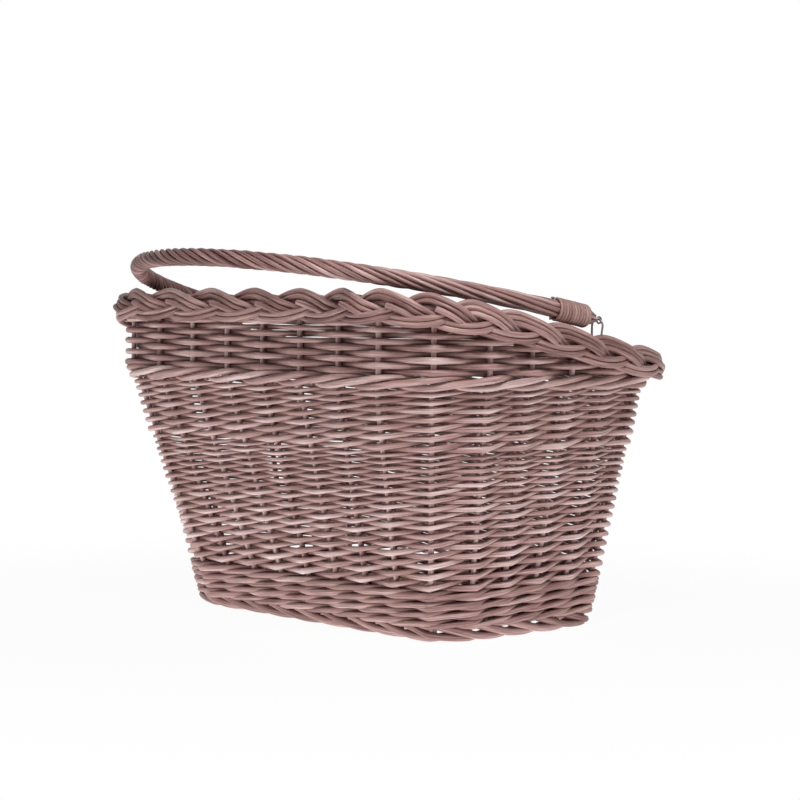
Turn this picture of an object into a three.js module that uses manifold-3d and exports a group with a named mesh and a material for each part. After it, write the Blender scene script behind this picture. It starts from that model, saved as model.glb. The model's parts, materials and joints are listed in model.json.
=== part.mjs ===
// A wicker bicycle basket with a high front, a plaited border and a swinging handle of twisted rods.
// Millimetres, +Z up, +X along the long side, -Y to the high front.
// The origin is the middle of the base's underside, and the foot stands below it.

import * as THREE from 'three';
import { mergeVertices } from 'three/addons/utils/BufferGeometryUtils.js';
import Module from 'manifold-3d';

// Heights of the woven bands, from the ground up
const FOOT_HEIGHT = 11;
const UPSETT_HEIGHT = 29.5;
const LOWER_SIDING_HEIGHT = 108;
const UPPER_SIDING_HEIGHT = 48.3;
const WALE_HEIGHT = 10;
const TOP_SIDING_HEIGHT = 40.5;
const BORDER_HEIGHT = 26;

// The rim falls from the front to the rear, where the border meets the wale
const RIM_SLOPE = 0.185;
const RIM_EASE = 4;

// Outside of the basket in plan: half length, front edge, rear edge and corner radius
const BASE_HALF_LENGTH = 159.5;
const BASE_FRONT = -88;
const BASE_REAR = 88;
const BASE_CORNER = 24;
const WALE_HALF_LENGTH = 205;
const WALE_FRONT = -152.5;
const WALE_REAR = 133.5;
const WALE_CORNER = 71;

// How far the wale widens the basket at the front and at the sides
const FRONT_FLARE = 2.8;
const SIDE_FLARE = 8;

// Thickness of the walls, and how far the border stands out over them
const WALL = 12;
const TOP_WALL = 20;
const FOOT_WIDTH = 12;
const BORDER_WIDTH = 26;
const BORDER_CHAMFER = 7;
const BORDER_OVERHANG = 8;

// Upright stakes inside the weave
const STAKE_COUNT = 28;
const STAKE_PHASE = 0.25;
const STAKE_DIAMETER = 4.5;

// Base panel and the sticks that it is woven round
const BASE_THICKNESS = 9;
const STICK_COUNT = 6;
const STICK_DIAMETER = 8;
const STICK_SHOWING = 2;

// Handle: a half ellipse that turns on two wire eyes above the border
const HANDLE_DIAMETER = 14.4;
const HANDLE_REACH = 253.5;
const HANDLE_START = 7;
const HINGE_Y = 28;
const HINGE_RISE = 10.2;
const REST_GAP = 2.6;

// Cane wound round each end of the handle
const BINDING_TURNS = 11;
const BINDING_STRAND = 2.3;
const BINDING_PITCH = 2.8;
const BINDING_START = 15.5;

// Wire staples in the border, wire eyes in the handle, and nails behind the bindings
const WIRE_DIAMETER = 1.6;
const STAPLE_WIDTH = 9;
const STAPLE_DEPTH = 16;
const EYE_BORE = 3.4;
const EYE_SHANK = 26;
const NAIL_DIAMETER = 1.8;
const NAIL_HEAD_DIAMETER = 3.6;
const NAIL_HEAD_HEIGHT = 1.2;
const NAIL_SHOWING = 1.6;

// Clearance between pieces that touch
const CLEARANCE = 0.3;

// Facets
const CORNER_STEPS = 6;
const SIDE_STEPS = 2;
const SLOPING_SIDE_STEPS = 8;
const ROD_SIDES = 5;
const STICK_SIDES = 10;
const HANDLE_SIDES = 10;
const HANDLE_STEPS = 40;
const LOOP_STEPS = 12;
const STRAND_SIDES = 5;
const WIRE_SIDES = 6;
const BEND_STEPS = 8;
const EYE_STEPS = 16;
const NAIL_SIDES = 10;

// Levels of the bands
const GROUND = -FOOT_HEIGHT;
const SIDING_BOTTOM = UPSETT_HEIGHT;
const SIDING_MIDDLE = SIDING_BOTTOM + LOWER_SIDING_HEIGHT;
const WALE_BOTTOM = SIDING_MIDDLE + UPPER_SIDING_HEIGHT;
const WALE_TOP = WALE_BOTTOM + WALE_HEIGHT;

// Plans at the ground, at the wale's underside, above the wale and at the border
const BASE_PLAN = plan(BASE_HALF_LENGTH, BASE_FRONT, BASE_REAR, BASE_CORNER);
const WALE_PLAN = plan(WALE_HALF_LENGTH, WALE_FRONT, WALE_REAR, WALE_CORNER);
const TOP_PLAN = plan(
  WALE_HALF_LENGTH + SIDE_FLARE,
  WALE_FRONT - FRONT_FLARE,
  WALE_REAR,
  WALE_CORNER,
);
const RIM_PLAN = plan(
  TOP_PLAN.halfLength + BORDER_OVERHANG,
  TOP_PLAN.front - BORDER_OVERHANG,
  TOP_PLAN.rear + BORDER_OVERHANG,
  TOP_PLAN.corner + BORDER_OVERHANG,
);

function plan(halfLength, front, rear, corner) {
  return { halfLength, front, rear, corner };
}

// The plan of the sloping wall at a height, from the ground to the wale's underside
function wallPlan(z) {
  const share = (z - GROUND) / (WALE_BOTTOM - GROUND);
  const mix = (key) => THREE.MathUtils.lerp(BASE_PLAN[key], WALE_PLAN[key], share);
  return plan(mix('halfLength'), mix('front'), mix('rear'), mix('corner'));
}

// A plan as a path that starts at the front middle and runs to the right
function planPath({ halfLength, front, rear, corner }, inset) {
  const x = halfLength - corner;
  const radius = corner - inset;
  const quarter = Math.PI / 2;
  const path = new THREE.Path();
  path.moveTo(0, front + inset);
  path.lineTo(x, front + inset);
  path.absarc(x, front + corner, radius, -quarter, 0);
  path.absarc(x, rear - corner, radius, 0, quarter);
  path.absarc(-x, rear - corner, radius, quarter, 2 * quarter);
  path.absarc(-x, front + corner, radius, 2 * quarter, 3 * quarter);
  path.lineTo(0, front + inset);
  return path;
}

// Points along a plan, with as many on each side and corner whatever the inset
function planPoints(outline, inset, sideSteps = SIDE_STEPS) {
  return planPath(outline, inset).curves.flatMap((curve) => {
    const steps = curve.isLineCurve ? sideSteps : CORNER_STEPS;
    return curve.getPoints(steps).slice(0, -1);
  });
}

// Underside of the border: level at the front, falling along the sides, level on the wale at the rear
function borderUnderside(y) {
  const level = WALE_TOP + CLEARANCE;
  const fall = TOP_SIDING_HEIGHT - RIM_SLOPE * (y - RIM_PLAN.front);
  return level + (fall + Math.hypot(fall, RIM_EASE)) / 2;
}

function borderTop(y) {
  return borderUnderside(y) + BORDER_HEIGHT;
}

// Geometry helpers

// A closed skin through cross-sections, capped at both ends or joined into a ring
function loft(sections, ring) {
  const size = sections[0].length;
  const count = sections.length;
  const positions = sections.flat().flatMap((point) => point.toArray());
  const triangles = [];
  const spans = ring ? count : count - 1;
  for (let i = 0; i < spans; i += 1) {
    const here = i * size;
    const next = ((i + 1) % count) * size;
    for (let j = 0; j < size; j += 1) {
      const k = (j + 1) % size;
      triangles.push(here + j, next + j, next + k);
      triangles.push(here + j, next + k, here + k);
    }
  }
  if (!ring) {
    const last = (count - 1) * size;
    for (let j = 1; j < size - 1; j += 1) {
      triangles.push(0, j, j + 1);
      triangles.push(last, last + j + 1, last + j);
    }
  }
  const geometry = new THREE.BufferGeometry();
  geometry.setAttribute('position', new THREE.Float32BufferAttribute(positions, 3));
  geometry.setIndex(triangles);
  return facingOut(geometry);
}

// Turns the skin inside out where its triangles enclose a negative volume
function facingOut(geometry) {
  const position = geometry.attributes.position;
  const index = geometry.index.array;
  const corner = (i) => new THREE.Vector3().fromBufferAttribute(position, index[i]);
  let volume = 0;
  for (let i = 0; i < index.length; i += 3) {
    volume += corner(i).dot(corner(i + 1).cross(corner(i + 2)));
  }
  if (volume < 0) {
    geometry.setIndex(Array.from(index).reverse());
  }
  return geometry;
}

// A round rod through points, with each section square to the way it runs
function rod(points, radius, sides) {
  const sections = [];
  const normal = new THREE.Vector3();
  const ways = points.slice(1).map((point, i) => point.clone().sub(points[i]).normalize());
  points.forEach((point, i) => {
    const before = ways[Math.max(i - 1, 0)];
    const after = ways[Math.min(i, ways.length - 1)];
    const along = before.clone().add(after).normalize();
    if (i === 0) {
      const aside = Math.abs(along.z) < 0.9 ? new THREE.Vector3(0, 0, 1) : new THREE.Vector3(1, 0, 0);
      normal.copy(aside);
    }
    normal.addScaledVector(along, -normal.dot(along)).normalize();
    const across = along.clone().cross(normal);
    const section = [];
    for (let j = 0; j < sides; j += 1) {
      const angle = (j * 2 * Math.PI) / sides;
      const corner = point.clone().addScaledVector(normal, radius * Math.cos(angle));
      section.push(corner.addScaledVector(across, radius * Math.sin(angle)));
    }
    sections.push(section);
  });
  return loft(sections, false);
}

// A ring whose section joins plan outlines, each given as a plan, an inset and a height
function ringOf(outlines, sideSteps = SIDE_STEPS) {
  const loops = outlines.map(([outline, inset, height]) => {
    const level = typeof height === 'function' ? height : () => height;
    const points = planPoints(outline, inset, sideSteps);
    return points.map((point) => new THREE.Vector3(point.x, point.y, level(point.y)));
  });
  return loops[0].map((_, i) => loops.map((loop) => loop[i]));
}

const wasm = await Module();
wasm.setup();

function toSolid(geometry) {
  const bare = geometry.clone();
  bare.deleteAttribute('normal');
  bare.deleteAttribute('uv');
  const merged = mergeVertices(bare);
  const vertProperties = merged.attributes.position.array;
  const triVerts = new Uint32Array(merged.index.array);
  return new wasm.Manifold(new wasm.Mesh({ numProp: 3, vertProperties, triVerts }));
}

function toGeometry(solid) {
  const mesh = solid.getMesh();
  const geometry = new THREE.BufferGeometry();
  geometry.setAttribute('position', new THREE.BufferAttribute(mesh.vertProperties, 3));
  geometry.setIndex(new THREE.BufferAttribute(mesh.triVerts, 1));
  return geometry;
}

function cut(geometry, tools) {
  return toGeometry(toSolid(geometry).subtract(wasm.Manifold.union(tools.map(toSolid))));
}

function join(...pieces) {
  return toGeometry(wasm.Manifold.union(pieces.map(toSolid)));
}

// Materials

function willow(colour) {
  return new THREE.MeshStandardMaterial({ color: colour, roughness: 0.62, metalness: 0 });
}

const dyedWillow = willow(0x8f6f6a);
const paleWillow = willow(0xa5837c);
const darkWillow = willow(0x6e514c);
const cane = willow(0x7d5f58);
const darkWire = new THREE.MeshStandardMaterial({ color: 0x3d3936, roughness: 0.5, metalness: 0.9 });

function piece(name, geometry, material) {
  geometry.computeVertexNormals();
  const mesh = new THREE.Mesh(geometry, material);
  mesh.name = name;
  return mesh;
}

// Stakes: each stands in the middle of the wall, and leans out where the wale widens the basket

function stakePoints(number, spareLength = 0) {
  const share = (number + STAKE_PHASE) / STAKE_COUNT;
  const at = (outline, inset, z) => {
    const spot = planPath(outline, inset).getPoint(share);
    return new THREE.Vector3(spot.x, spot.y, z);
  };
  const butt = at(wallPlan(STAKE_DIAMETER / 2), WALL / 2, STAKE_DIAMETER / 2);
  const bend = at(WALE_PLAN, WALL / 2, WALE_BOTTOM);
  const shoulder = at(TOP_PLAN, TOP_WALL / 2, WALE_TOP - STAKE_DIAMETER);
  const lowestAbove = borderUnderside(shoulder.y + STAKE_DIAMETER / 2);
  const tip = shoulder.clone().setZ(lowestAbove - CLEARANCE + spareLength);
  butt.add(butt.clone().sub(bend).setLength(spareLength));
  return [butt, bend, shoulder, tip];
}

function stakeRod(number) {
  return rod(stakePoints(number), STAKE_DIAMETER / 2, ROD_SIDES);
}

function stakeChannel(number) {
  return rod(stakePoints(number, WALE_HEIGHT), STAKE_DIAMETER / 2 + CLEARANCE, ROD_SIDES);
}

const stakeNumbers = Array.from({ length: STAKE_COUNT }, (_, i) => i);
const stakeChannels = stakeNumbers.map(stakeChannel);

// Woven bands

function wallBand(bottom, top) {
  const low = bottom;
  const high = top - CLEARANCE;
  const sections = ringOf([
    [wallPlan(low), 0, low],
    [wallPlan(high), 0, high],
    [wallPlan(high), WALL, high],
    [wallPlan(low), WALL, low],
  ]);
  return cut(loft(sections, true), stakeChannels);
}

function middleWale() {
  const high = WALE_TOP - CLEARANCE;
  const sections = ringOf([
    [WALE_PLAN, 0, WALE_BOTTOM],
    [TOP_PLAN, 0, high],
    [TOP_PLAN, TOP_WALL, high],
    [WALE_PLAN, WALL, WALE_BOTTOM],
  ]);
  return cut(loft(sections, true), stakeChannels);
}

// The top siding is a wedge: it runs round the front and both sides, and ends where the border comes down
function topSiding() {
  const high = (y) => borderUnderside(y) - CLEARANCE;
  const sections = ringOf([
    [TOP_PLAN, 0, WALE_TOP],
    [TOP_PLAN, 0, high],
    [TOP_PLAN, TOP_WALL, high],
    [TOP_PLAN, TOP_WALL, WALE_TOP],
  ], SLOPING_SIDE_STEPS);
  const thinnest = 3 * CLEARANCE;
  const tallEnough = sections.map((section) => section[2].z - section[3].z > thinnest);
  const rearStart = tallEnough.indexOf(false);
  const rearEnd = tallEnough.lastIndexOf(false) + 1;
  const fromLeftToRight = [...sections.slice(rearEnd), ...sections.slice(0, rearStart)];
  return cut(loft(fromLeftToRight, false), stakeChannels);
}

function footBorder() {
  const high = -CLEARANCE;
  const sections = ringOf([
    [BASE_PLAN, 0, GROUND],
    [wallPlan(high), 0, high],
    [wallPlan(high), FOOT_WIDTH, high],
    [BASE_PLAN, FOOT_WIDTH, GROUND],
  ]);
  return loft(sections, true);
}

function border(staples) {
  const low = borderUnderside;
  const lowSide = (y) => low(y) + BORDER_CHAMFER;
  const highSide = (y) => borderTop(y) - BORDER_CHAMFER;
  const inner = BORDER_WIDTH - BORDER_CHAMFER;
  const sections = ringOf([
    [RIM_PLAN, BORDER_CHAMFER, low],
    [RIM_PLAN, 0, lowSide],
    [RIM_PLAN, 0, highSide],
    [RIM_PLAN, BORDER_CHAMFER, borderTop],
    [RIM_PLAN, inner, borderTop],
    [RIM_PLAN, BORDER_WIDTH, highSide],
    [RIM_PLAN, BORDER_WIDTH, lowSide],
    [RIM_PLAN, inner, low],
  ], SLOPING_SIDE_STEPS);
  return cut(loft(sections, true), staples);
}

// Base panel with its sticks half sunk into the underside

function stickRod(number, spare = 0) {
  const foot = planPath(BASE_PLAN, FOOT_WIDTH + CLEARANCE);
  const end = foot.getPoint(0).y;
  const depth = -2 * end;
  const y = end + (depth * (number + 0.5)) / STICK_COUNT;
  const z = STICK_DIAMETER / 2 - STICK_SHOWING;
  const halfLength = BASE_HALF_LENGTH - FOOT_WIDTH - CLEARANCE + spare * WALL;
  const ends = [new THREE.Vector3(-halfLength, y, z), new THREE.Vector3(halfLength, y, z)];
  return rod(ends, STICK_DIAMETER / 2 + spare, STICK_SIDES);
}

const stickNumbers = Array.from({ length: STICK_COUNT }, (_, i) => i);

// The underside ends inside the foot, and the upper side meets the wall
function baseWeave() {
  const loopAt = (outline, inset, z) => {
    return planPoints(outline, inset).map((spot) => new THREE.Vector3(spot.x, spot.y, z));
  };
  const underside = loopAt(BASE_PLAN, FOOT_WIDTH + CLEARANCE, 0);
  const upperSide = loopAt(wallPlan(BASE_THICKNESS), WALL + CLEARANCE, BASE_THICKNESS);
  const panel = loft([underside, upperSide], false);
  return cut(panel, stickNumbers.map((number) => stickRod(number, CLEARANCE)));
}

// Hinges: a wire staple stands in each side of the border, and a wire eye of the handle turns on its bend

const HALF_SPAN = RIM_PLAN.halfLength - BORDER_WIDTH / 2;
const HINGE_Z = borderTop(HINGE_Y) + HINGE_RISE;
const wireRadius = WIRE_DIAMETER / 2;

function staple(side, spare = 0) {
  const half = STAPLE_WIDTH / 2;
  const middle = side * HALF_SPAN;
  const bottom = borderTop(HINGE_Y) - STAPLE_DEPTH - spare;
  const points = [new THREE.Vector3(middle - half, HINGE_Y, bottom)];
  for (let i = 0; i <= BEND_STEPS; i += 1) {
    const angle = Math.PI * (1 - i / BEND_STEPS);
    const x = middle + half * Math.cos(angle);
    const z = HINGE_Z - half + half * Math.sin(angle);
    points.push(new THREE.Vector3(x, HINGE_Y, z));
  }
  points.push(new THREE.Vector3(middle + half, HINGE_Y, bottom));
  return rod(points, wireRadius + spare, WIRE_SIDES);
}

// Handle, drawn flat: the hinge axis is the group's X axis and the handle runs to -Y

class HandleCurve extends THREE.Curve {
  getPoint(share, target = new THREE.Vector3()) {
    const angle = Math.PI * share;
    return target.set(HALF_SPAN * Math.cos(angle), -HANDLE_REACH * Math.sin(angle), 0);
  }
}

const handleCurve = new HandleCurve();
const handleLength = handleCurve.getLength();
const handleRadius = HANDLE_DIAMETER / 2;
const bindingEnd = BINDING_START + BINDING_TURNS * BINDING_PITCH + BINDING_STRAND;
const bindingRadius = handleRadius + CLEARANCE + BINDING_STRAND / 2;
const nailPlace = bindingEnd + CLEARANCE + NAIL_HEAD_DIAMETER / 2;

// The middle of the handle at a distance from its right hinge, and the ways along and across it
function handleFrame(distance) {
  const share = distance / handleLength;
  const middle = handleCurve.getPointAt(share);
  const along = handleCurve.getTangentAt(share);
  const up = new THREE.Vector3(0, 0, 1);
  return { middle, up, across: along.clone().cross(up) };
}

function mirrored(points, side) {
  return points.map((point) => new THREE.Vector3(side * point.x, point.y, point.z));
}

function eyeShank(side, spare = 0) {
  const start = EYE_BORE / 2 + wireRadius;
  const steps = 3;
  const points = [];
  for (let i = 0; i <= steps; i += 1) {
    points.push(handleFrame(start + ((EYE_SHANK + spare - start) * i) / steps).middle);
  }
  return rod(mirrored(points, side), wireRadius + spare, WIRE_SIDES);
}

function wireEye(side) {
  const ringRadius = EYE_BORE / 2 + wireRadius;
  const ring = new THREE.TorusGeometry(ringRadius, wireRadius, WIRE_SIDES, EYE_STEPS);
  ring.rotateY(Math.PI / 2);
  ring.translate(side * HALF_SPAN, wireRadius + CLEARANCE - EYE_BORE / 2, 0);
  return join(ring, eyeShank(side));
}

function nail(side, spare = 0) {
  const seat = handleRadius + CLEARANCE;
  const shank = NAIL_DIAMETER / 2 + spare;
  const head = NAIL_HEAD_DIAMETER / 2;
  const profile = [
    new THREE.Vector2(0, -seat - NAIL_SHOWING),
    new THREE.Vector2(shank, -seat - NAIL_SHOWING),
    new THREE.Vector2(shank, seat),
    new THREE.Vector2(head, seat),
    new THREE.Vector2(head, seat + NAIL_HEAD_HEIGHT),
    new THREE.Vector2(0, seat + NAIL_HEAD_HEIGHT),
  ];
  const geometry = new THREE.LatheGeometry(profile, NAIL_SIDES);
  geometry.rotateX(Math.PI / 2);
  const { middle } = handleFrame(nailPlace);
  geometry.translate(side * middle.x, middle.y, 0);
  return geometry;
}

function handleRods() {
  const points = [];
  for (let i = 0; i <= HANDLE_STEPS; i += 1) {
    const share = i / HANDLE_STEPS;
    points.push(handleFrame(HANDLE_START + (handleLength - 2 * HANDLE_START) * share).middle);
  }
  const sides = [-1, 1];
  const holes = sides.flatMap((side) => [eyeShank(side, CLEARANCE), nail(side, CLEARANCE)]);
  return cut(rod(points, handleRadius, HANDLE_SIDES), holes);
}

function bindingPoints() {
  const points = [];
  for (let i = 0; i <= BINDING_TURNS * LOOP_STEPS; i += 1) {
    const turn = i / LOOP_STEPS;
    const { middle, up, across } = handleFrame(BINDING_START + BINDING_STRAND / 2 + turn * BINDING_PITCH);
    const angle = 2 * Math.PI * turn;
    middle.addScaledVector(up, bindingRadius * Math.cos(angle));
    points.push(middle.addScaledVector(across, bindingRadius * Math.sin(angle)));
  }
  return points;
}

function binding(side) {
  return rod(mirrored(bindingPoints(), side), BINDING_STRAND / 2, STRAND_SIDES);
}

// The least gap between one turn of the binding and the next
function leastBindingGap() {
  const points = bindingPoints();
  let least = Infinity;
  points.forEach((point, i) => {
    points.slice(i + LOOP_STEPS / 2).forEach((other) => {
      least = Math.min(least, point.distanceTo(other));
    });
  });
  return least - BINDING_STRAND;
}

console.log(`least gap between turns of a binding: ${leastBindingGap().toFixed(2)} mm`);

// At rest the handle lies on the crest of the front border
function restTilt() {
  const crest = RIM_PLAN.front + BORDER_CHAMFER;
  const reach = HINGE_Y - crest;
  const climb = borderTop(crest) - HINGE_Z;
  return Math.atan2(climb, reach) + Math.asin((handleRadius + REST_GAP) / Math.hypot(climb, reach));
}

// Assembly

const SIDES = { left: -1, right: 1 };
const basket = new THREE.Group();
const handle = new THREE.Group();
handle.position.set(0, HINGE_Y, HINGE_Z);
handle.rotation.x = -restTilt();
basket.add(handle);

basket.add(piece('foot_border', footBorder(), darkWillow));
basket.add(piece('base_weave', baseWeave(), dyedWillow));
stickNumbers.forEach((number) => {
  basket.add(piece(`base_stick_${number + 1}`, stickRod(number), darkWillow));
});
basket.add(piece('upsett_wale', wallBand(0, SIDING_BOTTOM), darkWillow));
basket.add(piece('lower_siding', wallBand(SIDING_BOTTOM, SIDING_MIDDLE), dyedWillow));
basket.add(piece('upper_siding', wallBand(SIDING_MIDDLE, WALE_BOTTOM), dyedWillow));
basket.add(piece('middle_wale', middleWale(), paleWillow));
basket.add(piece('top_siding', topSiding(), dyedWillow));
stakeNumbers.forEach((number) => {
  const label = String(number + 1).padStart(2, '0');
  basket.add(piece(`stake_${label}`, stakeRod(number), darkWillow));
});
const stapleHoles = Object.values(SIDES).map((side) => staple(side, CLEARANCE));
basket.add(piece('plaited_border', border(stapleHoles), paleWillow));

handle.add(piece('handle_rods', handleRods(), paleWillow));
Object.entries(SIDES).forEach(([label, side]) => {
  basket.add(piece(`hinge_staple_${label}`, staple(side), darkWire));
  handle.add(piece(`wire_eye_${label}`, wireEye(side), darkWire));
  handle.add(piece(`binding_${label}`, binding(side), cane));
  handle.add(piece(`binding_nail_${label}`, nail(side), darkWire));
});

export default basket;
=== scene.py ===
"""A wicker bicycle basket, built rod by rod: woven walls, plaited border, base and twisted swinging handle.

Sizes are in millimetres until a mesh is made. Along a wall or the border, a place is counted in stakes.
"""

import json
import math

import bpy
import numpy as np
from mathutils import Matrix, Vector


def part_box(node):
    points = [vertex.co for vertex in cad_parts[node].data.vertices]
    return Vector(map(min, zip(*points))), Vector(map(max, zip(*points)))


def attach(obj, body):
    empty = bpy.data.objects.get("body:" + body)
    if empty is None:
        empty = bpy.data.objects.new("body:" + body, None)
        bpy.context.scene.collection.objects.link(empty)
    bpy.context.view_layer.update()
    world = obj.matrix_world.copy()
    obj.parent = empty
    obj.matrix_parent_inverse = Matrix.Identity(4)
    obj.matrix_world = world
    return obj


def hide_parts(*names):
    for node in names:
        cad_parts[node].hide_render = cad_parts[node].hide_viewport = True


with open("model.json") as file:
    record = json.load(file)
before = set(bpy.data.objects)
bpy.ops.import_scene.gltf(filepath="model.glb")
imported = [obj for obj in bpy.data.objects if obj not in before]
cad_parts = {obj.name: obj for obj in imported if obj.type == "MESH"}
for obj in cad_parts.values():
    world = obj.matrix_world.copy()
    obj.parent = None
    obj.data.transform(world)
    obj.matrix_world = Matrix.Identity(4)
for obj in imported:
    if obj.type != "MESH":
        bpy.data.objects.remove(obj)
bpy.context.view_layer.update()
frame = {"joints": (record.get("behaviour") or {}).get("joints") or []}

MM = 0.001
UP = np.array([0.0, 0.0, 1.0])


def node_span(node):
    """Lowest and highest corner of a node of the frame, in millimetres"""
    low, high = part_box(node)
    return np.array(low) / MM, np.array(high) / MM


# Heights of the woven bands, from the frame
GROUND = node_span("foot_border")[0][2]
SIDING_BOTTOM = node_span("lower_siding")[0][2]
SIDING_MIDDLE = node_span("upper_siding")[0][2]
WALE_BOTTOM = node_span("middle_wale")[0][2]
WALE_TOP = node_span("top_siding")[0][2]

# Border: high along the front, falling along the sides, level at the rear, where it is lower than the frame's
BORDER_HEIGHT = 26
BORDER_WIDTH = 26
RIM_FRONT = node_span("plaited_border")[0][1]
RIM_REAR_DROP = 5
RIM_REAR_LEVEL = node_span("plaited_border")[0][2] - RIM_REAR_DROP
RIM_RISE = 40.5 + RIM_REAR_DROP
RIM_SLOPE = 0.185
RIM_EASE = 4

# How far back the border starts to lie flatter and is flattest, and its share of its height there
RIM_FLATTENS = (50, 128)
RIM_REAR_FLATNESS = 0.86

# Stakes: the first stands a quarter of a step to the right of the front middle
STAKES = 28
STAKE_PHASE = 0.25
STAKE_DIAMETER = 4.5

# Plans that the stakes and the border follow, as half length, front, rear and corner radius
PLAN_HEIGHTS = (GROUND, WALE_BOTTOM, WALE_TOP)
FOOT_PLAN = (153.5, -82, 82, 18)
WALE_PLAN = (199, -146.5, 127.5, 65)
TOP_PLAN = (205.5, -147.8, 126, 63.5)
RIM_PLAN = (208, -150.3, 128.5, 66)
WALL_LEAN = math.atan(0.28)

# Strokes of the border and their share of the way round: longer along the front and side than at the corner
STROKES = ((0, -0.098), (4, 0.074), (6, 0.139), (8, 0.19), (10, 0.272), (STAKES, 0.902))

# Meshes: sides of a rod, and rings of points from one stake to the next
SIDES = 8
STEPS = 8


# Places on the basket

def along_plan(share, half_length, front, rear, corner):
    """Points and outward ways on a rounded plan, by share of its length from the front middle to the right"""
    side = half_length - corner
    depth = rear - front - 2 * corner
    quarter = corner * math.pi / 2
    straights = (side, depth, 2 * side, depth, side)
    headings = ((1, 0), (0, 1), (-1, 0), (0, -1), (1, 0))
    distance = share % 1 * (sum(straights) + 4 * quarter)
    x = 0
    y = front + corner
    angle = -math.pi / 2
    start = 0
    for (ahead_x, ahead_y), straight in zip(headings, straights):
        gone = np.clip(distance - start, 0, straight)
        x = x + ahead_x * gone
        y = y + ahead_y * gone
        start = start + straight
        angle = angle + np.clip(distance - start, 0, quarter) / corner
        start = start + quarter
    out_x = np.cos(angle)
    out_y = np.sin(angle)
    return x + corner * out_x, y + corner * out_y, out_x, out_y


def on_wall(place, height, out=0):
    """Points at a place along the stakes, at a height, set out from the middle of the wall

    The wall is straight from stake to stake.
    """
    place, height, out = np.broadcast_arrays(place, height, out)
    plans = np.array([FOOT_PLAN, WALE_PLAN, TOP_PLAN])
    sizes = [np.interp(height, PLAN_HEIGHTS, column) for column in plans.T]
    stake = np.floor(place)
    here = np.array(along_plan((stake + STAKE_PHASE) / STAKES, *sizes))
    after = np.array(along_plan((stake + 1 + STAKE_PHASE) / STAKES, *sizes))
    x, y, out_x, out_y = here + (after - here) * (place - stake)
    lean = np.interp(height, (WALE_BOTTOM, WALE_TOP), (WALL_LEAN, 0))
    level = out * np.cos(lean)
    return np.stack([x + out_x * level, y + out_y * level, height - out * np.sin(lean)], axis=-1)


def rim_underside(y):
    """Height of the border's underside, by how far back it is"""
    fall = RIM_RISE - RIM_SLOPE * (y - RIM_FRONT)
    return RIM_REAR_LEVEL + (fall + np.hypot(fall, RIM_EASE)) / 2


def on_rim(place, height, out):
    """Points on the border by strokes of its plait, at a height over its underside, out from its middle"""
    x, y, out_x, out_y = along_plan(np.interp(place % STAKES, *zip(*STROKES)), *RIM_PLAN)
    flat = np.interp(y, RIM_FLATTENS, (1, RIM_REAR_FLATNESS))
    return np.stack([x + out_x * out, y + out_y * out, rim_underside(y) + height * flat], axis=-1)


def unit(vectors):
    """Vectors drawn to a length of 1"""
    return vectors / np.linalg.norm(vectors, axis=-1, keepdims=True)


def glide(at, places, values):
    """A smooth curve through values that are set at places"""
    places = np.asarray(places, float)
    values = np.asarray(values, float)
    slopes = np.gradient(values, places, axis=0)
    span = np.clip(np.searchsorted(places, at, side="right") - 1, 0, len(places) - 2)
    width = places[span + 1] - places[span]
    part = (at - places[span]) / width
    start = (1 + 2 * part) * (1 - part) ** 2
    end = part ** 2 * (3 - 2 * part)
    leave = part * (1 - part) ** 2 * width
    arrive = part ** 2 * (part - 1) * width
    return start * values[span] + end * values[span + 1] + leave * slopes[span] + arrive * slopes[span + 1]


# Rods

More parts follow.
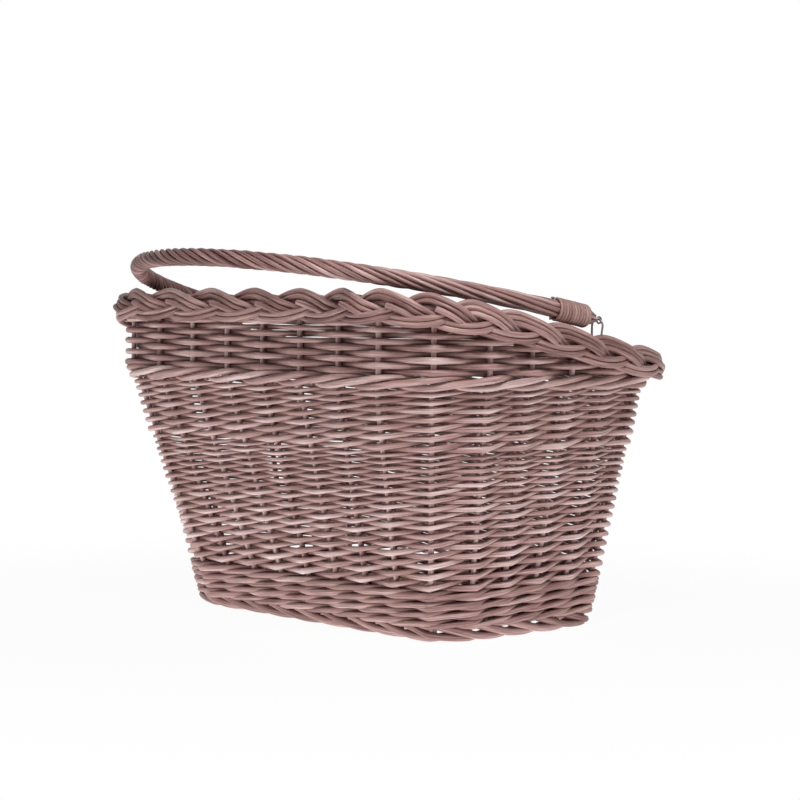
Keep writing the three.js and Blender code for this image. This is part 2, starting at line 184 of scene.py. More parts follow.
class Rods:
    """Round rods that are gathered into one piece

    Each rod keeps a tone of its own and a grain that runs along it, which the materials read. A piece with a
    paleness is paler than the rest or, below 0, darker.
    """

    # How far a rod's tone may lie from that of its piece
    TONE_SPREAD = 0.1

    def __init__(self, seed, paleness=0):
        self.random = np.random.default_rng(seed)
        self.paleness = paleness
        self.corners = []
        self.grains = []
        self.tones = []
        self.quads = []
        self.caps = []
        self.strips = []
        self.count = 0

    def add(self, points, radius, up=UP, flatness=1, closed=False, sides=SIDES, painted_shading=0):
        """A rod through points; flatness thins it across the way up, and a closed rod joins its own start

        Painted light and shade make it paler, or below 0 darker, all along or ring by ring.
        """
        points = np.asarray(points, float)
        rings = len(points)
        if closed:
            along = unit(np.roll(points, -1, axis=0) - np.roll(points, 1, axis=0))
        else:
            along = unit(np.gradient(points, axis=0))
        up = np.broadcast_to(up, points.shape)
        first = unit(up - np.sum(up * along, axis=1, keepdims=True) * along)
        second = np.cross(along, first)
        angles = 2 * math.pi * np.arange(sides) / sides
        length = np.concatenate([[0], np.cumsum(np.linalg.norm(np.diff(points, axis=0), axis=1))])
        radius = np.broadcast_to(radius, rings) * self.unevenness(length)
        thick = np.cos(angles)[:, None] * first[:, None]
        thin = flatness * np.sin(angles)[:, None] * second[:, None]
        self.corners.append((points[:, None] + radius[:, None, None] * (thick + thin)).reshape(-1, 3))
        shift = self.random.uniform(0, 1000)
        grain = np.stack(np.broadcast_arrays(
            length[:, None] + shift,
            radius[:, None] * np.cos(angles) + shift,
            radius[:, None] * np.sin(angles),
        ), axis=-1)
        self.grains.append(grain.reshape(-1, 3))
        # A rod's tone: its piece's paleness, a random tone of its own, and painted light and shade
        tone = self.paleness + self.random.uniform(-self.TONE_SPREAD, self.TONE_SPREAD) + painted_shading
        self.tones.append(np.repeat(np.broadcast_to(tone, rings), sides))
        spans = rings if closed else rings - 1
        ring = np.arange(spans)[:, None]
        corner = np.arange(sides)
        here = ring * sides
        after = (ring + 1) % rings * sides
        beside = (corner + 1) % sides
        quads = np.stack([here + corner, after + corner, after + beside, here + beside], axis=-1)
        self.quads.append(quads.reshape(-1, 4) + self.count)
        if not closed:
            self.caps.append(self.count + corner[::-1])
            self.caps.append(self.count + (rings - 1) * sides + corner)
        self.strips.append((spans, sides, closed))
        self.count += rings * sides

    def unevenness(self, length):
        """A natural rod swells and thins a little along its length, in long waves and short ones"""
        long_wave = 43
        short_wave = 13
        slow, quick = self.random.uniform(0, 2 * math.pi, 2)
        return 1 + 0.05 * np.sin(length / long_wave + slow) + 0.03 * np.sin(length / short_wave + quick)

    def bake_map(self):
        """Each rod lies on a strip of its own, with its cut ends beside it"""
        strip_share = 0.96
        margin = 0.1
        end_middles = (0.975, 0.991)
        end_reach = (0.006, 0.3)
        height = 1 / len(self.strips)
        sheets = []
        discs = []
        for row, (spans, sides, closed) in enumerate(self.strips):
            left = np.arange(spans)[:, None] / spans * strip_share + np.zeros(sides)
            right = left + strip_share / spans
            low = (row + margin + (1 - 2 * margin) * np.arange(sides) / sides) * height + np.zeros((spans, 1))
            high = low + (1 - 2 * margin) / sides * height
            sheet = np.stack([left, low, right, low, right, high, left, high], axis=-1)
            sheets.append(sheet.reshape(-1, 2))
            if not closed:
                angles = 2 * math.pi * np.arange(sides) / sides
                for middle in end_middles:
                    x = middle + end_reach[0] * np.cos(angles)
                    y = (row + 0.5 + end_reach[1] * np.sin(angles)) * height
                    discs.append(np.stack([x, y], axis=-1))
        return np.concatenate(sheets + discs)

    def piece(self, name, body, slot, material, *nodes):
        """The rods as one mesh that stands for nodes of the frame"""
        corners = np.concatenate(self.corners) * MM
        quads = np.concatenate(self.quads)
        mesh = bpy.data.meshes.new(name)
        faces = quads.tolist() + [cap.tolist() for cap in self.caps]
        mesh.from_pydata(corners.tolist(), [], faces)
        cut = np.zeros(len(faces), np.float32)
        cut[len(quads):] = 1
        mesh.polygons.foreach_set("use_smooth", cut == 0)
        grain = mesh.attributes.new("grain", "FLOAT_VECTOR", "POINT")
        grain.data.foreach_set("vector", np.concatenate(self.grains).astype(np.float32).ravel())
        tone = mesh.attributes.new("tone", "FLOAT", "POINT")
        tone.data.foreach_set("value", np.concatenate(self.tones).astype(np.float32))
        cut_end = mesh.attributes.new("cut_end", "FLOAT", "FACE")
        cut_end.data.foreach_set("value", cut)
        bake = mesh.uv_layers.new(name="OFBake")
        bake.data.foreach_set("uv", self.bake_map().astype(np.float32).ravel())
        mesh.materials.append(material)
        made = bpy.data.objects.new(name, mesh)
        bpy.context.scene.collection.objects.link(made)
        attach(made, body)
        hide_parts(*nodes)


# Materials

def colour(hex_code):
    """A linear colour from an sRGB hex code"""
    channels = [int(hex_code[i:i + 2], 16) / 255 for i in (1, 3, 5)]
    return [c / 12.92 if c <= 0.04045 else ((c + 0.055) / 1.055) ** 2.4 for c in channels] + [1]


def add_node(tree, kind, values=None, links=None, **settings):
    """Adds a node with its settings, the values of its sockets and the links into them"""
    made = tree.nodes.new(kind)
    for setting, value in settings.items():
        setattr(made, setting, value)
    for socket, value in (values or {}).items():
        made.inputs[socket].default_value = value
    for socket, source in (links or {}).items():
        tree.links.new(source, made.inputs[socket])
    return made


# Sockets of a Mix node, by what it mixes
NUMBER_A = 2
NUMBER_B = 3
COLOUR_A = 6
COLOUR_B = 7
COLOUR_RESULT = 2


def new_material(name):
    """A material with nothing in it yet, and its tree of nodes"""
    material = bpy.data.materials.new(name)
    material.use_nodes = True
    tree = material.node_tree
    tree.nodes.clear()
    return material, tree


def fill_ramp(ramp, stops):
    """Sets a colour ramp's stops, each a place and a hex code"""
    elements = ramp.color_ramp.elements
    while len(elements) < len(stops):
        elements.new(1)
    for element, (place, hex_code) in zip(elements, stops):
        element.position = place
        element.color = colour(hex_code)


def willow(name, dark, middle, pale, cut_colour):
    """Stained, peeled willow: satin, streaked along each rod, with its own tone, specks and pale cut ends

    The streaks are coarser than those of a real rod, which are too fine to show.
    """
    streak_width = 0.9
    streak_length = 28
    streak_depth = 0.9
    groove_depth = 0.25
    patch_width = 8.333
    patch_length = 60
    patch_depth = 0.35
    speck_gap = 1.25
    speck_spacing = 7
    speck_depth = 0.55
    dull = 0.62
    polished = 0.4
    material, tree = new_material(name)
    grain = add_node(tree, "ShaderNodeAttribute", attribute_name="grain").outputs["Vector"]
    tone = add_node(tree, "ShaderNodeAttribute", attribute_name="tone").outputs["Fac"]
    cut = add_node(tree, "ShaderNodeAttribute", attribute_name="cut_end").outputs["Fac"]
    streak_place = add_node(
        tree, "ShaderNodeVectorMath",
        values={1: (1 / streak_length, 1 / streak_width, 1 / streak_width)}, links={0: grain},
        operation="MULTIPLY",
    ).outputs["Vector"]
    streaks = add_node(
        tree, "ShaderNodeTexNoise",
        values={"Scale": 1, "Detail": 3, "Roughness": 0.6}, links={"Vector": streak_place},
    ).outputs["Fac"]
    patch_place = add_node(
        tree, "ShaderNodeVectorMath",
        values={1: (1 / patch_length, 1 / patch_width, 1 / patch_width)}, links={0: grain},
        operation="MULTIPLY",
    ).outputs["Vector"]
    patches = add_node(
        tree, "ShaderNodeTexNoise",
        values={"Scale": 1, "Detail": 2, "Roughness": 0.5}, links={"Vector": patch_place},
    ).outputs["Fac"]
    streaked = add_node(
        tree, "ShaderNodeMath",
        values={1: streak_depth}, links={0: streaks, 2: tone}, operation="MULTIPLY_ADD",
    ).outputs["Value"]
    stain = add_node(
        tree, "ShaderNodeMath",
        values={1: patch_depth}, links={0: patches, 2: streaked}, operation="MULTIPLY_ADD",
    ).outputs["Value"]
    ramp = add_node(tree, "ShaderNodeValToRGB", links={"Fac": stain})
    fill_ramp(ramp, ((0.29, dark), (0.62, middle), (0.97, pale)))
    speck_place = add_node(
        tree, "ShaderNodeVectorMath",
        values={1: (1 / speck_spacing, 1 / speck_gap, 1 / speck_gap)}, links={0: grain},
        operation="MULTIPLY",
    ).outputs["Vector"]
    specks = add_node(
        tree, "ShaderNodeTexVoronoi", values={"Scale": 1}, links={"Vector": speck_place},
    ).outputs["Distance"]
    speck_mask = add_node(
        tree, "ShaderNodeMapRange",
        values={"From Min": 0.05, "From Max": 0.16, "To Min": speck_depth, "To Max": 0},
        links={"Value": specks},
    ).outputs["Result"]
    speckled = add_node(
        tree, "ShaderNodeMix",
        values={COLOUR_B: colour(dark)}, links={0: speck_mask, COLOUR_A: ramp.outputs["Color"]},
        data_type="RGBA",
    ).outputs[COLOUR_RESULT]
    shown = add_node(
        tree, "ShaderNodeMix",
        values={COLOUR_B: colour(cut_colour)}, links={0: cut, COLOUR_A: speckled}, data_type="RGBA",
    ).outputs[COLOUR_RESULT]
    roughness = add_node(
        tree, "ShaderNodeMapRange",
        values={"To Min": dull, "To Max": polished}, links={"Value": streaks},
    ).outputs["Result"]
    bump = add_node(
        tree, "ShaderNodeBump",
        values={"Strength": 0.35, "Distance": groove_depth * MM}, links={"Height": streaks},
    ).outputs["Normal"]
    shader = add_node(
        tree, "ShaderNodeBsdfPrincipled", values={"IOR": 1.5},
        links={"Base Color": shown, "Roughness": roughness, "Normal": bump},
    )
    add_node(tree, "ShaderNodeOutputMaterial", links={"Surface": shader.outputs["BSDF"]})
    return material


def dark_wire(name):
    """Annealed iron wire: dark oxide with a dull metal gloss and small lighter rubs"""
    rub_size = 1.5
    dull = 0.55
    rubbed = 0.35
    material, tree = new_material(name)
    grain = add_node(tree, "ShaderNodeAttribute", attribute_name="grain").outputs["Vector"]
    rubs = add_node(
        tree, "ShaderNodeTexNoise",
        values={"Scale": 1 / rub_size, "Detail": 3, "Roughness": 0.6}, links={"Vector": grain},
    ).outputs["Fac"]
    ramp = add_node(tree, "ShaderNodeValToRGB", links={"Fac": rubs})
    fill_ramp(ramp, ((0.3, "#5d5553"), (0.55, "#847b79"), (0.8, "#b0a8a6")))
    roughness = add_node(
        tree, "ShaderNodeMapRange",
        values={"To Min": dull, "To Max": rubbed}, links={"Value": rubs},
    ).outputs["Result"]
    shader = add_node(
        tree, "ShaderNodeBsdfPrincipled", values={"Metallic": 0.9},
        links={"Base Color": ramp.outputs["Color"], "Roughness": roughness},
    )
    add_node(tree, "ShaderNodeOutputMaterial", links={"Surface": shader.outputs["BSDF"]})
    return material


stained_willow = willow("stained_willow", "#522c28", "#a07b76", "#dac4c1", "#ead9d0")
split_cane = willow("split_cane", "#5f3f39", "#94706a", "#c4a8a2", "#d6c2b5")
iron_wire = dark_wire("dark_iron_wire")


# Weaving

# How much paler a rod is painted where it lies on the outside than midway through the wall, and darker where
# it lies inside: painted light and shade for how deep it lies
PAINTED_DEPTH_SHADING = 0.14

# How far a row wanders up and down
WANDER = 0.25


def in_and_out(step):
    """How a rod passes behind and before the stakes: bent at each stake and straight between them"""
    bend = 0.985
    return np.arcsin(bend * np.cos(math.pi * step)) / math.asin(bend)


def pressed(way, thinnest):
    """A rod's share of its thickness: whole before and behind a stake, thinnest where it crosses over"""
    return thinnest + (1 - thinnest) * way ** 2


def siding(seed, paleness, bottom, top, rows, butt, tip):
    """A band of rods that start at every stake and climb to the right together, thick end first"""
    rods = Rods(seed, paleness)
    random = rods.random
    for stake in range(STAKES):
        spare = random.uniform(-0.3, 0.5)
        step = np.arange(0, rows * STEPS + round(spare * STEPS) + 1) / STEPS
        share = step / rows
        thickness = butt + (tip - butt) * share
        climbed = (butt * share + (tip - butt) * share ** 2 / 2) / ((butt + tip) / 2)
        wander = WANDER * np.sin(step * random.uniform(0.5, 0.9) + random.uniform(0, 6))
        behind = in_and_out(step)
        height = bottom + butt / 2 + (top - bottom - (butt + tip) / 2) * climbed
        points = on_wall(stake + step, height + wander, -behind * (STAKE_DIAMETER + thickness) / 2)
        radius = thickness / 2 * pressed(behind, thinnest=0.85) * random.uniform(0.94, 1.06)
        # Painted light and shade: paler where the rod lies outside the stakes, darker where it lies inside
        rods.add(points, radius, painted_shading=-PAINTED_DEPTH_SHADING * behind)
    return rods


def wale(seed, paleness, bottom, top, rounds, thickness, slant):
    """Three rods that pass before two stakes and behind one, round and round, with a slant to each run

    The rods start and end in the middle of the rear.
    """
    rods = Rods(seed, paleness)
    pitch = (top - bottom) / rounds
    swell = 0.13
    swell_length = 4.3
    sixth = 1 / 6
    before = ((-sixth, -1), (sixth, 1), (2 * sixth, 1.06), (3 * sixth, 1), (5 * sixth, -1), (7 * sixth, 1))
    fall = ((-sixth, 0), (0, 1), (2 * sixth, 0), (4 * sixth, -1), (5 * sixth, 0), (1, 1), (8 * sixth, 0))
    for strand in range(3):
        step = np.arange(0, rounds * STAKES * STEPS + 1) / STEPS
        part = (step - strand + 0.5) / 3 % 1
        front = glide(part, *zip(*before))
        share = step / (rounds * STAKES)
        height = bottom + pitch / 2 + (top - bottom - pitch) * share + slant * glide(part, *zip(*fall))
        points = on_wall(STAKES / 2 + step, height, front * (STAKE_DIAMETER + thickness) / 2)
        swelling = 1 + swell * np.sin(step / swell_length + rods.random.uniform(0, 6))
        radius = thickness / 2 * pressed(np.clip(front, 0, 1), thinnest=0.74) * swelling
        # Painted light and shade: paler where the rod lies before the stakes, darker where it lies behind
        rods.add(points, radius, painted_shading=PAINTED_DEPTH_SHADING * front)
    return rods


def top_siding():
    """Plain rows that fill the wedge under the border at the front and sides"""
    rods = Rods(31, -0.07)
    random = rods.random
    pitch = 4.5
    rows = 9
    lower_rod = 5.4
    upper_rod = 4.5
    under_border = 2
    all_round = np.arange(-STAKES * STEPS // 2, STAKES * STEPS // 2 + 1) / STEPS
    for row in range(rows):
        height = WALE_TOP + (row + 0.5) * pitch
        thickness = np.interp(row, (4, 8), (lower_rod, upper_rod))
        room = rim_underside(on_wall(all_round, height)[:, 1]) + under_border - height
        step = all_round[room > 0]
        wander = WANDER * np.sin(step * random.uniform(0.4, 0.8) + random.uniform(0, 6))
        before = in_and_out(step + row)
        points = on_wall(step, height + wander, before * (STAKE_DIAMETER + thickness) / 2)
        radius = thickness / 2 * pressed(before, thinnest=0.82) * random.uniform(0.95, 1.05)
        # Painted light and shade: paler where the rod lies before the stakes, darker where it lies behind
        rods.add(points, radius, painted_shading=PAINTED_DEPTH_SHADING * before)
    return rods


def stake_rod(number):
    """An upright that stands in the wall and ends inside the border"""
    # Paler than the wall's rods: painted light on the stubs that show in the gaps, lit from below
    rods = Rods(100 + number, 0.06)
    bottom = -3
    ring_gap = 6
    rim_over_foot = 1.7
    let_in = 8
    foot_y = on_wall(number, 1.0)[1]
    tip = rim_underside(foot_y * rim_over_foot) + let_in
    height = np.arange(bottom, tip, ring_gap)
    points = on_wall(number, height)
    outward = on_wall(number, height, 1) - points
    rods.add(points, STAKE_DIAMETER / 2, up=outward)
    return rods


# Border: pairs of rods that dip along the lower edge, pass behind, arch over the top and cross down outside

PLAIT_ROD = 4.4
PLAIT_SAG = 1.5
PLAIT_PERIOD = 4
PLAIT_INNER_RISE = 0.8
PLAIT_TILT = (-5, 20)

# Along a pair's way, in strokes: its rise from the lower edge to the upper, and its reach out from the middle
PLAIT = (
    (0, 0, 0.95),
    (0.3, 0.06, 0.97),
    (0.54, 0.19, 0.93),
    (0.69, 0.31, 0.8),
    (0.84, 0.5, 0.5),
    (1.03, 0.78, 0.25),
    (1.22, 0.95, 0.2),
    (1.41, 1, 0.3),
    (1.63, 0.92, 0.55),
    (1.93, 0.72, 0.85),
    (2.13, 0.52, 0.8),
    (2.24, 0.41, 0.56),
    (2.38, 0.29, 0.35),
    (2.6, 0.17, 0.12),
    (2.85, 0.12, 0.05),
    (3.1, 0.14, 0.02),
    (3.3, 0.16, 0.15),
    (3.5, 0.12, 0.5),
    (3.75, 0.03, 0.85),
)
PLAIT_MARKS = np.array([(at + turn * PLAIT_PERIOD, *mark) for turn in (-1, 0, 1) for at, *mark in PLAIT])


def plait_rod(place, start, side, face=1, lift=0):
    """Points of a rod to a side of the middle of its pair, on the outer face of the border or the inner one

    The start is where the pair's way begins, in strokes. The inner face is lower. A lift sets a rod out.
    """
    way = (place - start) % PLAIT_PERIOD
    rise, reach = [glide(way, PLAIT_MARKS[:, 0], PLAIT_MARKS[:, column]) for column in (1, 2)]
    low = PLAIT_ROD - PLAIT_SAG
    height = low + rise * (BORDER_HEIGHT - PLAIT_ROD - low) * (1 if face > 0 else PLAIT_INNER_RISE)
    out = face * (reach * (BORDER_WIDTH - PLAIT_ROD) / 2 + lift)
    tilt = np.radians(PLAIT_TILT[0] + (PLAIT_TILT[1] - PLAIT_TILT[0]) * rise)[:, None]
    middle = on_rim(place, height, out)
    along = unit(np.gradient(middle, axis=0))
    outward = on_rim(place, height, out + face) - middle
    facing = np.cos(tilt) * outward + np.sin(tilt) * UP
    return middle + side * unit(np.cross(along, facing))


def border():
    """A plait on the outer face, one on the inner face, rods let in between, and three round the middle

    Rods that are let in at the front show their cut ends.
    """
    rods = Rods(47, -0.12)
    steps = 16
    end_in_sight = 1.62
    end_hidden = 1.15
    tucked_in = 2.3
    lift_places = (1.44, 1.84, 2.2)
    core_radius = 3.2
    place = np.arange(-1, STAKES * steps + 1) / steps
    for face in (1, -1):
        for start in range(PLAIT_PERIOD):
            for side in (-PLAIT_ROD / 2, PLAIT_ROD / 2):
                thickness = PLAIT_ROD * rods.random.uniform(0.95, 1.05)
                rods.add(plait_rod(place, start, side, face)[1:-1], thickness / 2, closed=True)
    for stroke in range(STAKES):
        cut_in_sight = stroke < 6 or stroke > STAKES - 3
        begin = end_in_sight + rods.random.uniform(-0.07, 0.07) if cut_in_sight else end_hidden
        way = np.linspace(begin, tucked_in, 20)
        lift = np.interp(way, lift_places, (5.4 if cut_in_sight else 1, 2.3, 0))
        points = plait_rod(stroke + way, stroke, 1.5 * PLAIT_ROD, lift=lift)
        rods.add(points, PLAIT_ROD / 2 * rods.random.uniform(0.9, 1.05))
    for height, out in ((8, -4), (8, 3), (14, 0)):
        rods.add(on_rim(place[1:-1], height, out), core_radius, closed=True)
    return rods


# Foot and base

def foot():
    """Thick stake ends that roll round the underside, each from behind one stake down over the next two"""
    rods = Rods(59, -0.15)
    thickness = 6.2
    off_ground = 1.1
    low = GROUND + thickness / 2 + off_ground
    # Along a rod's way, in stakes: its height and how far it is set out
    marks = np.array([
        (-0.35, 4.0, -4.0),
        (0.10, 3.0, 1.5),
        (0.60, -0.8, 3.6),
        (1.20, -5.2, 4.0),
        (1.80, low, 3.0),
        (2.40, low, -1.5),
        (3.00, low + 2.0, -5.0),
    ])
    step = np.linspace(marks[0, 0], marks[-1, 0], 28)
    height, out = [glide(step, marks[:, 0], marks[:, column]) for column in (1, 2)]
    for stake in range(STAKES):
        rods.add(on_wall(stake + step, height, out), thickness / 2 * rods.random.uniform(0.93, 1.04))
    return rods


STICKS = 6
STICK_DIAMETER = 6.4
STICK_HEIGHT = 3.2
STICK_SPANS = [node_span(f"base_stick_{number + 1}") for number in range(STICKS)]
STICK_LINES = [(low[1] + high[1]) / 2 for low, high in STICK_SPANS]


def base_stick(number):
    """A stick along the base, not quite straight"""
    rods = Rods(200 + number)
    low, high = STICK_SPANS[number]
    x = np.linspace(low[0], high[0], 24)
    crook = 0.5 * np.sin(x / 60 + number)
    points = np.stack([x, STICK_LINES[number] + crook, np.full_like(x, STICK_HEIGHT)], axis=-1)
    rods.add(points, STICK_DIAMETER / 2)
    return rods


def base_weave():
    """Rods across the base, over and under its sticks in turn"""
    rods = Rods(71)
    thickness = 3.9
    packing = 0.78
    corner = 26
    margin = 1
    low, high = node_span("base_weave")
    count = int((high[0] - low[0]) / (thickness * packing))
    reach = (STICK_DIAMETER + thickness) / 2
    gap = STICK_LINES[1] - STICK_LINES[0]
    for number in range(count):
        x = low[0] + (number + 0.5) * (high[0] - low[0]) / count
        outside = np.clip(abs(x) - (high[0] - corner), 0, corner)
        shorter = corner - math.sqrt(corner ** 2 - outside ** 2)
        y = np.linspace(low[1] + margin + shorter, high[1] - margin - shorter, 58)
        step = (y - STICK_LINES[0]) / gap
        over = in_and_out(step + number)
        z = STICK_HEIGHT + reach * over
        wander = 0.3 * np.sin(y / 31 + rods.random.uniform(0, 6))
        points = np.stack([x + wander, y, z], axis=-1)
        radius = thickness / 2 * pressed(over, thinnest=0.8) * rods.random.uniform(0.95, 1.03)
        rods.add(points, radius)
    return rods


# Handle: a half ellipse that turns about the hinge line and rests on the front border

HINGE = np.array(frame["joints"][0]["pos_m"]) / MM
HALF_SPAN = 208
HANDLE_REACH = 253.5
HANDLE_RADIUS = 7.2
HANDLE_START = 7
SHOULDERS_IN = 0.017
HANDLE_LOW, HANDLE_HIGH = node_span("handle_rods")
CROWN_AHEAD = HINGE[1] - HANDLE_LOW[1] - HANDLE_RADIUS
CROWN_RISE = HANDLE_HIGH[2] - HANDLE_RADIUS - HINGE[2]
HANDLE_TILT = math.atan2(CROWN_RISE, CROWN_AHEAD)


def bow(angle):
    """Points of the handle's middle line, flat about its hinges: an ellipse with its shoulders drawn in"""
    share = 1 - SHOULDERS_IN * np.sin(2 * angle) ** 2
    x = share * HALF_SPAN * np.cos(angle)
    y = -share * HANDLE_REACH * np.sin(angle)
    return np.stack([x, y, np.zeros_like(x)], axis=-1)


# Angles of the bow and the lengths along it that they lie at, from its right end
BOW_ANGLES = np.linspace(0, math.pi, 4001)
BOW_LENGTHS = np.concatenate([[0], np.cumsum(np.linalg.norm(np.diff(bow(BOW_ANGLES), axis=0), axis=1))])
BOW_LENGTH = BOW_LENGTHS[-1]


def tilted(points):
    """From the handle drawn flat about its hinge line to the handle at rest"""
    level = math.cos(HANDLE_TILT)
    rise = math.sin(HANDLE_TILT)
    x, y, z = np.moveaxis(np.asarray(points, float), -1, 0)
    return np.stack([x, y * level + z * rise, z * level - y * rise], axis=-1)


def round_handle(distance, around, radius):
    """Points round the handle's middle line, at a distance along it, and the ways out from it and along it"""
    nudge = 0.001
    angle = np.interp(distance, BOW_LENGTHS, BOW_ANGLES)
    middle = bow(angle)
    along = unit(bow(angle + nudge) - bow(angle - nudge))
    across = np.cross(along, UP)
    outward = np.cos(around)[..., None] * UP + np.sin(around)[..., None] * across
    points = middle + np.asarray(radius)[..., None] * outward
    return HINGE + tilted(points), tilted(outward), tilted(along)


# Places along the handle from its right end, and the length in which its rods go once round there
HANDLE_PITCHES = (
    (0, 600), (80, 270), (140, 170), (177, 115), (220, 95),
    (300, 85), (400, 77), (480, 66), (640, 64), (720, 200),
)


def handle_twist():
    """Rods twisted round a core; the twist is tight over the crown and opens towards the right end"""
    rods = Rods(83, -0.2)
    strands = 8
    strand = 3.5
    sunk = 0.3
    core_radius = HANDLE_RADIUS - 0.9 * strand
    taper_length = 9
    tip_share = 0.55
    # How much paler the handle's right end is painted: painted light where light falls on it from above
    right_painted_light = 0.18
    distance = np.linspace(HANDLE_START, BOW_LENGTH - HANDLE_START, 330)
    pitches = np.interp(distance, *zip(*HANDLE_PITCHES))
    turn = np.concatenate([[0], np.cumsum(np.diff(distance) / pitches[1:])]) * 2 * math.pi
    from_end = np.minimum(distance, BOW_LENGTH - distance) - HANDLE_START
    narrow = np.interp(from_end, (0, taper_length), (tip_share, 1))
    painted_shading = np.interp(distance, (150, 350), (right_painted_light, 0))
    for number in range(strands):
        around = turn + 2 * math.pi * number / strands
        points, outward, _ = round_handle(distance, around, (HANDLE_RADIUS - sunk - strand / 2) * narrow)
        rods.add(points, strand / 2 * narrow * rods.random.uniform(0.97, 1.06), up=outward, painted_shading=painted_shading)
    points, outward, _ = round_handle(distance, 0 * distance, 0 * distance)
    rods.add(points, core_radius * narrow, up=outward)
    return rods


BINDING_TURNS = 11
BINDING_PITCH = 2.8
BINDING_START = 16.6
BINDING_WIDTH = 2.7
BINDING_FLATNESS = 0.75


def side_distance(distance, side):
    """A distance from the hinge on a side, as a distance from the right hinge"""
    return distance if side > 0 else BOW_LENGTH - distance


def binding(side):
    """Split cane wound round the end of the handle"""
    rods = Rods(90 + side)
    rings = 24
    turn = np.linspace(0, BINDING_TURNS, BINDING_TURNS * rings + 1)
    radius = HANDLE_RADIUS + BINDING_FLATNESS * BINDING_WIDTH / 2
    distance = side_distance(BINDING_START + turn * BINDING_PITCH, side)
    points, _, along = round_handle(distance, 2 * math.pi * turn, np.full_like(turn, radius))
    rods.add(points, BINDING_WIDTH / 2, up=along, flatness=BINDING_FLATNESS)
    return rods


WIRE_RADIUS = 0.8
EYE_RADIUS = 2.5
EYE_AHEAD = 0.6

# Staple: where its legs stand, from the handle's end outwards; the outer one leans in to its foot
STAPLE_INNER = -7.6
STAPLE_OUTER = 3.4
STAPLE_FOOT = 0
STAPLE_RAISED = 0.9


def staple(side):
    """A hairpin of wire that stands in the border and carries the eye on its bend"""
    rods = Rods(110 + side)
    low, high = node_span("hinge_staple_right" if side > 0 else "hinge_staple_left")
    bend = np.linspace(math.pi, 0, 17)
    half_width = (STAPLE_OUTER - STAPLE_INNER) / 2
    middle = (STAPLE_OUTER + STAPLE_INNER) / 2
    top = high[2] + STAPLE_RAISED - WIRE_RADIUS - half_width
    leg = np.linspace(low[2], top, 6)[:-1]
    outer_leg = np.linspace(STAPLE_FOOT, STAPLE_OUTER, 6)[:-1]
    x = np.concatenate([np.full_like(leg, STAPLE_INNER), middle + half_width * np.cos(bend), outer_leg[::-1]])
    z = np.concatenate([leg, top + half_width * np.sin(bend), leg[::-1]])
    points = np.stack([side * (HALF_SPAN + x), np.full_like(x, HINGE[1]), z], axis=-1)
    rods.add(points, WIRE_RADIUS, up=np.array([0.0, 1.0, 0.0]))
    return rods


def wire_eye(side):
    """A wire that comes out of the handle's end and curls into an eye round the staple"""
    rods = Rods(120 + side)
    shank_ends = (24, 3.6)
    curl = np.linspace(0.5 * math.pi, -1.5 * math.pi, 25)
    across = np.full_like(curl, side * HALF_SPAN)
    flat = np.stack([across, -EYE_AHEAD - EYE_RADIUS * np.sin(curl), EYE_RADIUS * np.cos(curl)], axis=-1)
    ring = HINGE + tilted(flat)
    shank, _, _ = round_handle(side_distance(np.linspace(*shank_ends, 8), side), np.zeros(8), np.zeros(8))
    rods.add(np.concatenate([shank, ring]), WIRE_RADIUS, up=np.array([1.0, 0.0, 0.0]))
    return rods


def nail(side):
    """A dark nail through the handle behind its binding, from its point up to its domed head"""
    rods = Rods(130 + side)
    distance = 50.7
    middle, _, _ = round_handle(np.array([side_distance(distance, side)]), np.zeros(1), np.zeros(1))
    heights = np.array([-9.1, -8.69, 7.52, 7.53, 8.14, 8.65, 8.86])
    radii = np.array([0.5, 0.9, 0.9, 1.8, 1.8, 1.3, 0.6])
    rods.add(middle + heights[:, None] * tilted(UP), radii, up=np.array([1.0, 0.0, 0.0]), sides=12)
    return rods


# Assembly

BASKET = "basket"
HANDLE = "handle"
WILLOW = "dyed_willow"

foot().piece("foot_rods", BASKET, WILLOW, stained_willow, "foot_border")
base_weave().piece("base_weavers", BASKET, WILLOW, stained_willow, "base_weave")
for number in range(STICKS):
    name = f"base_stick_{number + 1}"
    base_stick(number).piece(f"{name}_rod", BASKET, WILLOW, stained_willow, name)
upsett = wale(
    seed=11, paleness=-0.18, bottom=-5.4, top=SIDING_BOTTOM + 5, rounds=4, thickness=5.2, slant=-2,
)
upsett.piece("upsett_rods", BASKET, WILLOW, stained_willow, "upsett_wale")
lower = siding(
    seed=21, paleness=-0.02, bottom=SIDING_BOTTOM - 2.5, top=SIDING_MIDDLE + 1.5, rows=32, butt=5.3, tip=2.75,
)
lower.piece("lower_siding_rods", BASKET, WILLOW, stained_willow, "lower_siding")
upper = siding(
    seed=22, paleness=-0.06, bottom=SIDING_MIDDLE - 2, top=WALE_BOTTOM + 1, rows=14, butt=5.3, tip=3.4,
)
upper.piece("upper_siding_rods", BASKET, WILLOW, stained_willow, "upper_siding")
middle = wale(
    seed=12, paleness=-0.1, bottom=WALE_BOTTOM, top=WALE_TOP, rounds=1, thickness=5.8, slant=-3.6,
)
middle.piece("middle_wale_rods", BASKET, WILLOW, stained_willow, "middle_wale")
top_siding().piece("top_siding_rods", BASKET, WILLOW, stained_willow, "top_siding")
for number in range(STAKES):
    name = f"stake_{number + 1:02d}"
    stake_rod(number).piece(f"{name}_rod", BASKET, WILLOW, stained_willow, name)
border().piece("border_plait", BASKET, WILLOW, stained_willow, "plaited_border")
handle_twist().piece("handle_twist", HANDLE, WILLOW, stained_willow, "handle_rods")
